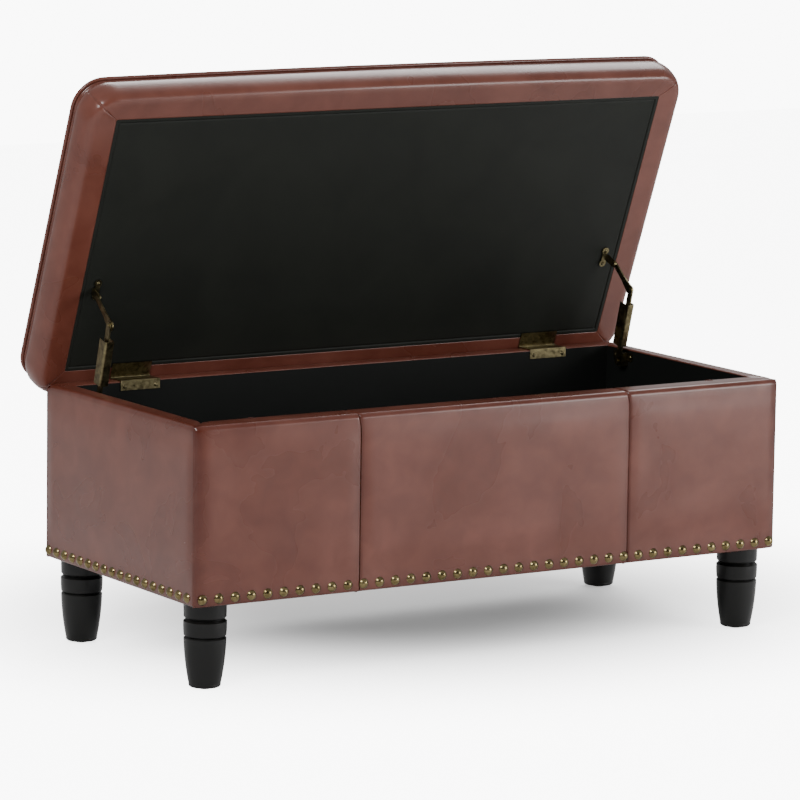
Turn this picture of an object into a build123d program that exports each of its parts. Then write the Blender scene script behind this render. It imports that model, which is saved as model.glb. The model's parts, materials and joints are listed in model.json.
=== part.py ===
from build123d import *
import math
import os

# Storage bench with a hinged padded lid, shown with the lid open on its two stays.
# Millimetres. +X runs along the width, the front faces -Y and +Z is up. Everything below
# is drawn from the floor under the middle of the box, and the finished pieces are then moved
# by open_centre_y, so that the origin is under the middle of the bench with its lid open.

open_centre_y = 35.34

# ---- Driving dimensions of the box ----
box_width = 1067.0
box_depth = 480.0
box_bottom = 133.0
rim_height = 407.0
cover_thickness = 2.0
corner_radius = 8.0
rim_radius = 6.0
front_layers = (12.0, 18.0, 8.0)      # padding, board, lining panel
back_layers = (9.0, 18.0, 8.0)
side_layers = (6.0, 15.0, 7.0)
bottom_board_thickness = 15.0
floor_lining_thickness = 2.0
cover_return = 12.0
seam_x = 246.0

# ---- Legs ----
leg_inset_x = 42.5
leg_inset_y = 44.5
leg_radius = 33.0
leg_foot_radius = 24.5
leg_groove_heights = (107.0, 81.0)
glide_height = 3.0
glide_radius = 10.0
bolt_radius = 4.0

# ---- Nailheads ----
nail_radius = 8.0
nail_dome = 5.0
nail_shank_radius = 1.1
nail_shank_length = 20.0
nail_height = box_bottom + 12.0
front_nail_count = 38
front_nail_reach = 521.0
side_nail_count = 18
side_nail_first = -214.0
side_nail_last = 226.0

# ---- Lid, described closed and then swung open ----
open_angle = 68.0
pin_y = 236.0
pin_z = 408.0
lid_gap = 2.5
lid_half_width = 552.0
lid_front = -265.0
lid_back = 268.0
lid_corner = 50.0
lid_side_height = 62.5
lid_crown = 15.0
lid_board_thickness = 15.0
lid_board_margin = 14.0
lid_edge_radius = 9.0
lining_half_width = 505.0
lining_from_pin = (15.0, 460.0)
piping_radius = 3.5
piping_inset = 6.0

# ---- Hinges ----
hinge_x = 384.5
hinge_length = 70.0
leaf_thickness = 1.6
knuckle_radius = 2.5
hinge_pin_radius = 1.5
running_gap = 0.03
knuckle_gap = 0.3
box_leaf_drop = 16.0
lid_leaf_depth = 25.0

# ---- Lid stays: pivots in the YZ plane with the lid open ----
foot_pivot = (149.0, 387.0)
middle_pivot = (115.0, 510.5)
lid_pivot = (158.5, 548.5)
strap_x = 487.3
strap_thickness = 2.5
strap_width = 12.0
arm_x = 484.6
arm_thickness = 2.5
arm_width = 9.0
arm_head_radius = 8.5
housing_x = (478.9, 495.5)
housing_from_foot = (30.0, 104.0)
housing_depth = 20.0
sheet_thickness = 1.5
rivet_radius = 2.5
rivet_head_radius = 4.5
rivet_gap = 0.05

# ---- Derived levels ----
half_width = box_width / 2
half_depth = box_depth / 2
board_bottom = box_bottom + cover_thickness
board_top = rim_height - cover_thickness
floor_top = board_bottom + bottom_board_thickness + floor_lining_thickness
board_x = half_width - cover_thickness - side_layers[0]
board_front = -half_depth + cover_thickness + front_layers[0]
board_back = half_depth - cover_thickness - back_layers[0]
inner_board_x = board_x - side_layers[1]
inner_board_front = board_front + front_layers[1]
inner_board_back = board_back - back_layers[1]
cavity_x = inner_board_x - side_layers[2]
cavity_front = inner_board_front + front_layers[2]
cavity_back = inner_board_back - back_layers[2]
lid_under = pin_z + lid_gap
lid_seam = lid_under + lid_side_height
leg_places = {
    "front_left_leg": (-1, -1),
    "front_right_leg": (1, -1),
    "back_left_leg": (-1, 1),
    "back_right_leg": (1, 1),
}

parts = {}


# ---------------------------------------------------------------- helpers
def block(x0, x1, y0, y1, z0, z1):
    """A rectangular block between two corners."""
    centre = ((x0 + x1) / 2, (y0 + y1) / 2, (z0 + z1) / 2)
    return Pos(*centre) * Box(abs(x1 - x0), abs(y1 - y0), abs(z1 - z0))


def prism(points, z0, z1):
    """A vertical prism over a plan outline."""
    outline = Polyline(*[(x, y) for x, y in points], close=True)
    return Pos(0, 0, z0) * extrude(make_face(outline), z1 - z0)


def rounded_slab(x_half, y0, y1, z0, z1, radius, bottom_fillet=0.0, top_fillet=0.0):
    """A slab with rounded plan corners and, if asked, rounded bottom and top edges."""
    plan = Pos(0, (y0 + y1) / 2) * RectangleRounded(2 * x_half, y1 - y0, radius)
    slab = Pos(0, 0, z0) * extrude(plan, z1 - z0)
    if bottom_fillet:
        slab = fillet(slab.faces().sort_by(Axis.Z)[0].edges(), bottom_fillet)
    if top_fillet:
        slab = fillet(slab.faces().sort_by(Axis.Z)[-1].edges(), top_fillet)
    return slab


def rod(start, direction, radius, length):
    """A cylinder from a point along a direction."""
    plane = Plane(origin=start, z_dir=direction)
    return plane * Cylinder(radius, length, align=(Align.CENTER, Align.CENTER, Align.MIN))


def cap(radius, height):
    """A spherical cap standing on z = 0."""
    ball = (radius ** 2 + height ** 2) / (2 * height)
    return Pos(0, 0, height - ball) * Sphere(ball) & Pos(0, 0, height / 2) * Cylinder(radius + 1, height)


def side_profile(face_in_yz, x0, thickness):
    """Stand a sketch drawn in (y, z) up in the YZ plane and give it thickness along +X."""
    return Plane(origin=(x0, 0, 0), x_dir=(0, 1, 0), z_dir=(1, 0, 0)) * extrude(face_in_yz, thickness)


def mirrored(solid, side):
    """The right-hand piece as it is, or mirrored for the left."""
    return solid if side > 0 else mirror(solid, about=Plane.YZ)


def opened(solid):
    """Swing a piece of the closed lid about the hinge pins to the open rest pose."""
    turn = Pos(0, pin_y, pin_z) * Rot(-open_angle, 0, 0) * Pos(0, -pin_y, -pin_z)
    return turn * solid


def cut_all(solid, tools):
    """Cut each tool that reaches the solid's box."""
    box = solid.bounding_box()
    near = []
    for tool in tools:
        other = tool.bounding_box()
        apart = (
            other.min.X > box.max.X or other.max.X < box.min.X
            or other.min.Y > box.max.Y or other.max.Y < box.min.Y
            or other.min.Z > box.max.Z or other.max.Z < box.min.Z
        )
        if not apart:
            near.append(tool)
    return solid - near if near else solid


# ---------------------------------------------------------------- legs
def leg_outline():
    """Half section of the turned leg, from the glide up to the box."""
    low, high = leg_groove_heights[1], leg_groove_heights[0]
    groove = 3.0
    with BuildLine() as line:
        Line((0, glide_height), (leg_foot_radius - 4, glide_height))
        SagittaArc((leg_foot_radius - 4, glide_height), (leg_foot_radius, glide_height + 5), -1.6)
        ThreePointArc(
            (leg_foot_radius, glide_height + 5),
            (leg_radius - 2.6, glide_height + 44),
            (leg_radius - 0.6, low - groove),
        )
        Line((leg_radius - 0.6, low - groove), (leg_radius - 3.6, low))
        Line((leg_radius - 3.6, low), (leg_radius - 0.8, low + 1.6))
        ThreePointArc(
            (leg_radius - 0.8, low + 1.6), (leg_radius, (low + high) / 2), (leg_radius, high - groove)
        )
        Line((leg_radius, high - groove), (leg_radius - 3.8, high))
        Line((leg_radius - 3.8, high), (leg_radius - 0.6, high + 4.2))
        Line((leg_radius - 0.6, high + 4.2), (leg_radius, box_bottom + cover_thickness))
        Line((leg_radius, box_bottom + cover_thickness), (0, box_bottom + cover_thickness))
        Line((0, box_bottom + cover_thickness), (0, glide_height))
    return make_face(line.line)


def make_legs():
    """Four turned legs, their glides, hanger bolts and T-nuts."""
    turned = revolve(Plane.XZ * leg_outline(), Axis.Z)
    bolt_bottom, bolt_top = board_bottom - 42, board_bottom + bottom_board_thickness - 1
    bore = rod((0, 0, bolt_bottom), (0, 0, 1), bolt_radius + rivet_gap, 60)
    glides, bolts, nuts = [], [], []
    for name, (side, end) in leg_places.items():
        place = Pos(side * (half_width - leg_inset_x), end * (half_depth - leg_inset_y), 0)
        parts[name] = place * (turned - bore)
        glide = chamfer(Cylinder(glide_radius, glide_height).edges().sort_by(Axis.Z)[0], 0.8)
        glides.append(place * Pos(0, 0, glide_height / 2) * glide)
        bolts.append(place * rod((0, 0, bolt_bottom), (0, 0, 1), bolt_radius, bolt_top - bolt_bottom))
        nut_top = board_bottom + bottom_board_thickness
        nut = rod((0, 0, nut_top - 12), (0, 0, 1), 6, 12) + rod((0, 0, nut_top - 1.5), (0, 0, 1), 11, 1.5)
        nut -= rod((0, 0, nut_top - 20), (0, 0, 1), bolt_radius + rivet_gap, 30)
        nuts.append(place * nut)
    parts["glides"] = Compound(glides)
    parts["hanger_bolts"] = Compound(bolts)
    parts["t_nuts"] = Compound(nuts)


# ---------------------------------------------------------------- nailheads
def make_nails():
    """Domed upholstery nails along the bottom edge of the front and of both sides."""
    dome = cap(nail_radius, nail_dome)
    shank = rod((0, 0, 0), (0, 0, -1), nail_shank_radius, nail_shank_length)
    nail = dome + shank
    front, side_nails, holes = [], [], []
    step = 2 * front_nail_reach / (front_nail_count - 1)
    for i in range(front_nail_count):
        plane = Plane(origin=(-front_nail_reach + i * step, -half_depth, nail_height), z_dir=(0, -1, 0))
        front.append(plane * nail)
        holes.append(plane * shank)
    step = (side_nail_last - side_nail_first) / (side_nail_count - 1)
    for side in (-1, 1):
        for i in range(side_nail_count):
            origin = (side * half_width, side_nail_first + i * step, nail_height)
            plane = Plane(origin=origin, z_dir=(side, 0, 0))
            side_nails.append(plane * nail)
            holes.append(plane * shank)
    parts["front_nails"] = Compound(front)
    parts["side_nails"] = Compound(side_nails)
    return holes


# ---------------------------------------------------------------- box
def make_box():
    """Boards, padding, leather covers, lining panels and dust cover."""
    top, low = board_top, board_bottom
    parts["front_board"] = block(-board_x, board_x, board_front, inner_board_front, low, top)
    parts["back_board"] = block(-board_x, board_x, inner_board_back, board_back, low, top)
    parts["left_board"] = block(-board_x, -inner_board_x, inner_board_front, inner_board_back, low, top)
    parts["right_board"] = block(inner_board_x, board_x, inner_board_front, inner_board_back, low, top)
    parts["bottom_board"] = block(
        -inner_board_x, inner_board_x, inner_board_front, inner_board_back, low, low + bottom_board_thickness
    )
    lining_low = low + bottom_board_thickness
    parts["floor_lining"] = block(
        -inner_board_x, inner_board_x, inner_board_front, inner_board_back, lining_low, floor_top
    )
    parts["front_lining"] = block(
        -inner_board_x, inner_board_x, inner_board_front, cavity_front, floor_top, top
    )
    parts["back_lining"] = block(-inner_board_x, inner_board_x, cavity_back, inner_board_back, floor_top, top)
    parts["left_lining"] = block(-inner_board_x, -cavity_x, cavity_front, cavity_back, floor_top, top)
    parts["right_lining"] = block(cavity_x, inner_board_x, cavity_front, cavity_back, floor_top, top)

    skin = cover_thickness
    outer = rounded_slab(
        half_width, -half_depth, half_depth, box_bottom, rim_height, corner_radius, 0, rim_radius
    )
    core = rounded_slab(
        half_width - skin, -half_depth + skin, half_depth - skin, low, top,
        corner_radius - skin, 0, rim_radius - skin,
    )
    boards = block(-board_x, board_x, board_front, board_back, low - 1, top + 1)
    padding = core - boards
    front_pad = padding & block(-half_width, half_width, -half_depth, board_front, low, top)
    back_pad = padding & block(-half_width, half_width, board_back, half_depth, low, top)
    left_pad = padding & block(-half_width, -board_x, board_front, board_back, low, top)
    right_pad = padding & block(board_x, half_width, board_front, board_back, low, top)
    parts["wall_padding"] = Compound([front_pad, back_pad, left_pad, right_pad])

    shell = outer - core
    shell -= block(-cavity_x, cavity_x, cavity_front, cavity_back, top - 1, rim_height + 1)
    ring = half_width - cover_return, half_depth - cover_return
    shell -= block(-ring[0], ring[0], -ring[1], ring[1], box_bottom - 1, low + 1)
    leg_holes = []
    for side, end in leg_places.values():
        place = Pos(side * (half_width - leg_inset_x), end * (half_depth - leg_inset_y), box_bottom)
        leg_holes.append(place * Cylinder(leg_radius + 1, 6))
    shell = cut_all(shell, leg_holes)
    far_x, far_y = half_width + 1, half_depth + 1
    outline = {
        "front": [(-far_x, -far_y), (far_x, -far_y), (cavity_x, cavity_front), (-cavity_x, cavity_front)],
        "right_cover": [(far_x, -far_y), (far_x, far_y), (cavity_x, cavity_back), (cavity_x, cavity_front)],
        "back_cover": [(far_x, far_y), (-far_x, far_y), (-cavity_x, cavity_back), (cavity_x, cavity_back)],
        "left_cover": [(-far_x, far_y), (-far_x, -far_y), (-cavity_x, cavity_front), (-cavity_x, cavity_back)],
    }
    for name in ("right_cover", "back_cover", "left_cover"):
        parts[name] = shell & prism(outline[name], box_bottom - 1, rim_height + 1)
    front = shell & prism(outline["front"], box_bottom - 1, rim_height + 1)
    spans = {
        "front_cover_left": (-far_x, -seam_x),
        "front_cover_centre": (-seam_x, seam_x),
        "front_cover_right": (seam_x, far_x),
    }
    for name, (x0, x1) in spans.items():
        parts[name] = front & block(x0, x1, -far_y, 0, box_bottom - 1, rim_height + 1)
    dust = block(-ring[0], ring[0], -ring[1], ring[1], box_bottom, low)
    parts["dust_cover"] = cut_all(dust, leg_holes).solids().sort_by(SortBy.VOLUME)[-1]


# ---------------------------------------------------------------- lid
def make_lid():
    """Board, foam, leather border and top, piping and lining of the lid, still closed."""
    skin = cover_thickness
    under, seam = lid_under, lid_seam
    outer = rounded_slab(
        lid_half_width, lid_front, lid_back, under, seam, lid_corner, lid_edge_radius, lid_edge_radius
    )
    core = rounded_slab(
        lid_half_width - skin, lid_front + skin, lid_back - skin, under + skin, seam,
        lid_corner - skin, lid_edge_radius - skin, lid_edge_radius - skin,
    )
    inset = piping_inset
    crown_outer = rounded_slab(
        lid_half_width - inset, lid_front + inset, lid_back - inset, seam, seam + lid_crown,
        lid_corner - inset, 0, lid_crown - 1,
    )
    crown_inner = rounded_slab(
        lid_half_width - inset - skin, lid_front + inset + skin, lid_back - inset - skin,
        seam, seam + lid_crown - skin, lid_corner - inset - skin, 0, lid_crown - skin - 1,
    )
    margin = lid_board_margin
    board = rounded_slab(
        lid_half_width - margin, lid_front + margin, lid_back - margin,
        under + skin, under + skin + lid_board_thickness, lid_corner - margin,
    )
    path_plan = Pos(0, (lid_front + lid_back) / 2, seam) * RectangleRounded(
        2 * (lid_half_width - inset), lid_back - lid_front - 2 * inset, lid_corner - inset
    )
    path = path_plan.wire()
    ring_face = Plane(origin=path @ 0, z_dir=path % 0) * Circle(piping_radius)
    piping = sweep(ring_face, path)
    lining_y = (pin_y - lining_from_pin[1], pin_y - lining_from_pin[0])
    lining = block(-lining_half_width, lining_half_width, *lining_y, under, under + skin)
    parts["lid_board"] = board
    parts["lid_lining"] = lining
    parts["lid_piping"] = piping
    parts["lid_border"] = outer - core - lining - piping
    parts["lid_top_cover"] = crown_outer - crown_inner - piping
    parts["lid_foam"] = core + crown_inner - board - piping


# ---------------------------------------------------------------- screws
def screw(head_radius, head_height, length, countersunk):
    """A wood screw whose seat is at z = 0, with its shank along -Z, and the hole it needs."""
    shank_radius = 1.7
    shank = rod((0, 0, -length), (0, 0, 1), shank_radius, length)
    if countersunk:
        head = Pos(0, 0, -head_height / 2) * Cone(shank_radius, head_radius, head_height)
        top, hole = 0.0, shank + head
    else:
        head = cap(head_radius, head_height)
        top, hole = head_height, shank
    cross = Pos(0, 0, top) * (Box(head_radius, 0.8, 1.2) + Box(0.8, head_radius, 1.2))
    return head + shank - cross, hole


# ---------------------------------------------------------------- hinges
def hinge_segments():
    """X spans of the knuckles about the hinge's middle, box and lid leaf in turn."""
    count = 5
    step = hinge_length / count
    start = -hinge_length / 2
    return [(start + i * step + knuckle_gap / 2, start + (i + 1) * step - knuckle_gap / 2)
            for i in range(count)]


def make_hinge(side):
    """One cranked hinge: returns box leaf, lid leaf (closed), pin and screw places."""
    middle = side * hinge_x
    half = hinge_length / 2
    clear_y = pin_y - knuckle_radius - knuckle_gap
    flange_top = rim_height + leaf_thickness
    plate_front = cavity_back - leaf_thickness
    box_leaf = block(middle - half, middle + half, plate_front, cavity_back,
                     flange_top - box_leaf_drop, flange_top)
    box_leaf += block(middle - half, middle + half, plate_front, clear_y, rim_height, flange_top)
    lid_leaf = block(middle - half, middle + half, pin_y - lid_leaf_depth, clear_y,
                     lid_under - leaf_thickness, lid_under)
    for i, (x0, x1) in enumerate(hinge_segments()):
        knuckle = rod((middle + x0, pin_y, pin_z), (1, 0, 0), knuckle_radius, x1 - x0)
        if i % 2 == 0:
            box_leaf += knuckle + block(middle + x0, middle + x1, clear_y - 0.5, pin_y,
                                        rim_height, flange_top)
        else:
            lid_leaf += knuckle + block(middle + x0, middle + x1, clear_y - 0.5, pin_y,
                                        lid_under - leaf_thickness, lid_under)
    bore = rod((middle - half - 1, pin_y, pin_z), (1, 0, 0), hinge_pin_radius + running_gap, hinge_length + 2)
    pin = rod((middle - half, pin_y, pin_z), (1, 0, 0), hinge_pin_radius, hinge_length)
    return box_leaf - bore, lid_leaf - bore, pin


def make_hinges():
    """Both hinges with their screws, and the holes the screws need."""
    box_screw, box_shank = screw(3.4, 1.8, 16, False)
    lid_screw, lid_hole = screw(3.4, leaf_thickness, 13, True)
    pins, box_screws, lid_screws, box_holes, lid_holes = [], [], [], [], []
    for side, name in ((-1, "left_hinge"), (1, "right_hinge")):
        box_leaf, lid_leaf, pin = make_hinge(side)
        places = [(side * hinge_x + dx, cavity_back - leaf_thickness, rim_height - 8.5) for dx in (-28, 28)]
        for place in places:
            plane = Plane(origin=place, z_dir=(0, -1, 0))
            box_screws.append(plane * box_screw)
            box_holes.append(plane * box_shank)
        for dx, dy in ((-28, 12), (1.5, 16), (28, 12)):
            plane = Plane(origin=(side * hinge_x + dx, pin_y - dy, lid_under - leaf_thickness), z_dir=(0, 0, -1))
            lid_screws.append(plane * lid_screw)
            lid_holes.append(plane * lid_hole)
        parts[name + "_box_leaf"] = cut_all(box_leaf, box_holes)
        parts[name + "_lid_leaf"] = cut_all(lid_leaf, lid_holes)
        pins.append(pin)
    parts["hinge_pins"] = Compound(pins)
    parts["hinge_box_screws"] = Compound(box_screws)
    parts["hinge_lid_screws"] = Compound(lid_screws)
    return box_holes, lid_holes


# ---------------------------------------------------------------- stays
def along(start, end, distance):
    """The point a distance from start towards end."""
    length = math.dist(start, end)
    return tuple(a + (b - a) * distance / length for a, b in zip(start, end))


def link(start, end, width, x0, thickness):
    """A flat bar with round ends between two points of the YZ plane."""
    length = math.dist(start, end)
    angle = math.degrees(math.atan2(end[1] - start[1], end[0] - start[0]))
    middle = ((start[0] + end[0]) / 2, (start[1] + end[1]) / 2)
    bar = Pos(*middle) * Rot(0, 0, angle) * SlotCenterToCenter(length, width)
    return side_profile(bar, x0, thickness)


def pivot_hole(point, radius):
    """A through hole along X at a pivot."""
    return rod((400, point[0], point[1]), (1, 0, 0), radius, 140)


def stay_foot():
    """Hat-shaped foot bracket on the side wall."""
    y, z = foot_pivot[0] + 5, foot_pivot[1] + 7
    wall = cavity_x
    raised = strap_x + strap_thickness + 0.2
    plate = side_profile(Pos(y, z) * RectangleRounded(54, 14, 4), wall - sheet_thickness, sheet_thickness)
    bridge = block(raised, wall, foot_pivot[0] - 8, foot_pivot[0] + 8, foot_pivot[1] - 8, z + 7)
    hollow = block(raised + sheet_thickness, wall + 1, foot_pivot[0] - 6.5, foot_pivot[0] + 6.5,
                   foot_pivot[1] - 9, z + 8)
    screws_at = [(y - 21, z), (y + 21, z)]
    return plate + bridge - hollow, screws_at


def stay_strap():
    """Flat strap from the foot pivot to the middle pivot, with the rivet's tail on its outer face."""
    strap = link(foot_pivot, middle_pivot, strap_width, strap_x, strap_thickness)
    strap -= pivot_hole(foot_pivot, rivet_radius + rivet_gap)
    tail_start = (strap_x + strap_thickness, *middle_pivot)
    return strap + rod(tail_start, (1, 0, 0), rivet_head_radius - 0.8, 1.2)


def stay_housing():
    """Folded channel round the strap, closed in front and open behind for the arm."""
    low = along(foot_pivot, middle_pivot, housing_from_foot[0])
    axis = (0, middle_pivot[0] - foot_pivot[0], middle_pivot[1] - foot_pivot[1])
    plane = Plane(origin=(0, *low), x_dir=(1, 0, 0), z_dir=axis)
    length = housing_from_foot[1] - housing_from_foot[0]
    wide = housing_x[1] - housing_x[0]
    mid_x = (housing_x[0] + housing_x[1]) / 2
    half = housing_depth / 2
    outer = extrude(Pos(mid_x, 0) * Rectangle(wide, housing_depth), length)
    outer = fillet(outer.edges().filter_by(Axis.Z).sort_by(Axis.Y)[:2], 4.5)
    inner_wide = wide - 2 * sheet_thickness
    inner = extrude(Pos(mid_x, sheet_thickness) * Rectangle(inner_wide, housing_depth), length + 2)
    inner = Pos(0, 0, -1) * fillet(inner.edges().filter_by(Axis.Z).sort_by(Axis.Y)[:2], 3.0)
    web_hole = (strap_x, strap_x + strap_thickness)
    spacer = extrude(Pos(sum(web_hole) / 2, -(strap_width / 2 + half - sheet_thickness) / 2)
                     * Rectangle(strap_thickness, half - sheet_thickness - strap_width / 2), 20)
    return plane * (outer - inner), plane * (Pos(0, 0, 10) * spacer)


def stay_spring():
    """Close-wound spring beside the strap, its turns as rounded ridges."""
    turns, wire = 12, 2.0
    barrel = 2.0
    with BuildLine() as line:
        Line((0, 0), (barrel, 0))
        for i in range(turns):
            SagittaArc((barrel, i * wire), (barrel, (i + 1) * wire), -0.75)
        Line((barrel, turns * wire), (0, turns * wire))
        Line((0, turns * wire), (0, 0))
    coil = revolve(Plane.XZ * make_face(line.line), Axis.Z)
    low = along(foot_pivot, middle_pivot, housing_from_foot[0] + 3)
    axis = (0, middle_pivot[0] - foot_pivot[0], middle_pivot[1] - foot_pivot[1])
    return Plane(origin=(strap_x - barrel - 1.2, *low), x_dir=(1, 0, 0), z_dir=axis) * coil


def stay_arm():
    """Flat arm with a teardrop head at the middle pivot and a round eye at the lid pivot."""
    arm = link(middle_pivot, lid_pivot, arm_width, arm_x, arm_thickness)
    head = side_profile(Pos(*middle_pivot) * Circle(arm_head_radius), arm_x, arm_thickness)
    neck_end = along(middle_pivot, lid_pivot, 26)
    dy, dz = (lid_pivot[0] - middle_pivot[0]), (lid_pivot[1] - middle_pivot[1])
    norm = math.hypot(dy, dz)
    across = (-dz / norm, dy / norm)
    wide, thin = arm_head_radius - 0.3, arm_width / 2
    shoulder = [
        (middle_pivot[0] + across[0] * wide, middle_pivot[1] + across[1] * wide),
        (neck_end[0] + across[0] * thin, neck_end[1] + across[1] * thin),
        (neck_end[0] - across[0] * thin, neck_end[1] - across[1] * thin),
        (middle_pivot[0] - across[0] * wide, middle_pivot[1] - across[1] * wide),
    ]
    neck = side_profile(make_face(Polyline(*shoulder, close=True)), arm_x, arm_thickness)
    return arm + head + neck


def stay_lid_bracket():
    """Two-lobed screw plate on the lid lining with an ear down to the lid pivot, lid open."""
    turn = math.radians(open_angle)
    reach = (pin_y - lid_pivot[0], lid_pivot[1] - pin_z)
    from_pin = reach[0] * math.cos(turn) + reach[1] * math.sin(turn)
    drop = reach[0] * math.sin(turn) - reach[1] * math.cos(turn)
    closed_y, closed_z = pin_y - from_pin, pin_z - drop
    plate_x = 476.0
    lobes = (closed_y - 13.5, closed_y + 9.5)
    plate = Pos(0, 0, lid_under - sheet_thickness) * extrude(
        Pos(plate_x, lobes[0]) * Circle(6.2) + Pos(plate_x, lobes[1]) * Circle(6.2)
        + Pos(plate_x, sum(lobes) / 2) * Rectangle(8, lobes[1] - lobes[0]), sheet_thickness
    )
    ear_x = arm_x - 0.2 - 2.0
    plate += block(plate_x, ear_x + 2, closed_y - 6, closed_y + 6, lid_under - sheet_thickness, lid_under)
    ear = block(ear_x, ear_x + 2, closed_y - 6, closed_y + 6, closed_z, lid_under)
    eye = Plane(origin=(ear_x, closed_y, closed_z), z_dir=(1, 0, 0)) * Cylinder(
        6, 2, align=(Align.CENTER, Align.CENTER, Align.MIN)
    )
    places = [(plate_x, y, lid_under - sheet_thickness) for y in lobes]
    return plate + ear + eye, places, ear_x


def make_stays():
    """Both lid stays with rivets and screws, and the holes their screws need."""
    small_screw, small_shank = screw(3.2, 1.8, 12, False)
    foot, foot_places = stay_foot()
    housing, spacer = stay_housing()
    strap = stay_strap() + spacer
    bracket, lid_places, ear_x = stay_lid_bracket()
    arm = stay_arm()
    foot_rivet = rod((strap_x - 2.2, *foot_pivot), (1, 0, 0), rivet_head_radius, 2.0)
    foot_rivet += rod((strap_x - 2.2, *foot_pivot), (1, 0, 0), rivet_radius, 8)
    middle_rivet = rod((arm_x - 1.6, *middle_pivot), (1, 0, 0), rivet_head_radius, 1.6)
    middle_rivet += rod((arm_x - 1.6, *middle_pivot), (1, 0, 0), rivet_radius, 1.6 + arm_thickness)
    lid_rivet = rod((ear_x - 1.6, *lid_pivot), (1, 0, 0), rivet_head_radius, 1.6)
    lid_rivet += rod((ear_x - 1.6, *lid_pivot), (1, 0, 0), rivet_radius, 1.6 + 2.2 + arm_thickness)
    foot -= pivot_hole(foot_pivot, rivet_radius + rivet_gap)
    arm -= pivot_hole(lid_pivot, rivet_radius + rivet_gap)
    arm -= pivot_hole(middle_pivot, rivet_radius)
    foot_screws, foot_rivets, lid_screws, lid_rivets, box_holes, lid_holes = [], [], [], [], [], []
    for y, z in foot_places:
        plane = Plane(origin=(cavity_x - sheet_thickness, y, z), z_dir=(-1, 0, 0))
        foot_screws.append(plane * small_screw)
        box_holes.append(plane * small_shank)
    for place in lid_places:
        plane = Plane(origin=place, z_dir=(0, 0, -1))
        lid_screws.append(plane * small_screw)
        lid_holes.append(plane * small_shank)
    foot = cut_all(foot, box_holes)
    bracket = cut_all(bracket, lid_holes)
    bracket = opened(bracket) - pivot_hole(lid_pivot, rivet_radius + rivet_gap)
    for side, name in ((-1, "left_stay"), (1, "right_stay")):
        parts[name + "_foot_bracket"] = mirrored(foot, side)
        parts[name + "_strap"] = mirrored(strap, side)
        parts[name + "_housing"] = mirrored(housing, side)
        parts[name + "_spring"] = mirrored(stay_spring(), side)
        parts[name + "_middle_rivet"] = mirrored(middle_rivet, side)
        parts[name + "_arm"] = mirrored(arm, side)
        parts[name + "_lid_bracket"] = mirrored(bracket, side)
    both = (-1, 1)
    parts["stay_foot_screws"] = Compound([mirrored(s, side) for side in both for s in foot_screws])
    parts["stay_foot_rivets"] = Compound([mirrored(foot_rivet, side) for side in both])
    parts["stay_lid_screws"] = Compound([mirrored(opened(s), side) for side in both for s in lid_screws])
    parts["stay_lid_rivets"] = Compound([mirrored(lid_rivet, side) for side in both])
    every_box = [mirrored(h, side) for side in both for h in box_holes]
    every_lid = [mirrored(h, side) for side in both for h in lid_holes]
    return every_box, every_lid


# ---------------------------------------------------------------- assembly
make_box()
make_legs()
nail_holes = make_nails()
make_lid()
hinge_box_holes, hinge_lid_holes = make_hinges()
stay_box_holes, stay_lid_holes = make_stays()

for name in ("front_board", "left_board", "right_board", "back_board", "front_cover_left",
             "front_cover_centre", "front_cover_right", "left_cover", "right_cover", "back_cover"):
    parts[name] = cut_all(parts[name], nail_holes)
parts["wall_padding"] = Compound([cut_all(pad, nail_holes) for pad in parts["wall_padding"].solids()])

box_screw_holes = hinge_box_holes + stay_box_holes
for name in ("back_lining", "left_lining", "right_lining", "back_board", "left_board", "right_board"):
    parts[name] = cut_all(parts[name], box_screw_holes)
lid_screw_holes = hinge_lid_holes + stay_lid_holes
for name in ("lid_lining", "lid_board", "lid_border"):
    parts[name] = cut_all(parts[name], lid_screw_holes)

knuckle_notches = []
for side in (-1, 1):
    x0, x1 = side * hinge_x - hinge_length / 2 - 1, side * hinge_x + hinge_length / 2 + 1
    knuckle_notches.append(block(x0, x1, pin_y - 3.2, half_depth + 1, rim_height - 2.1, rim_height + 2))
parts["back_cover"] = cut_all(parts["back_cover"], knuckle_notches)
parts["wall_padding"] = Compound([cut_all(pad, knuckle_notches) for pad in parts["wall_padding"].solids()])

nut_recesses = []
for side, end in leg_places.values():
    place = Pos(side * (half_width - leg_inset_x), end * (half_depth - leg_inset_y), board_bottom)
    height = bottom_board_thickness
    nut_recesses.append(place * rod((0, 0, -1), (0, 0, 1), 6, height + 2))
    nut_recesses.append(place * rod((0, 0, height - 1.5), (0, 0, 1), 11, 2))
parts["bottom_board"] = cut_all(parts["bottom_board"], nut_recesses)

for name in ("lid_board", "lid_foam", "lid_border", "lid_top_cover", "lid_piping", "lid_lining",
             "left_hinge_lid_leaf", "right_hinge_lid_leaf", "hinge_lid_screws"):
    parts[name] = opened(parts[name])

os.makedirs("parts", exist_ok=True)
for name, shape in parts.items():
    export_step(Pos(0, -open_centre_y, 0) * shape, f"parts/{name}.step")
print(len(parts), "nodes written")
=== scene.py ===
import json
import math

import bmesh
import bpy
from mathutils import Matrix, Vector, noise


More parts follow.
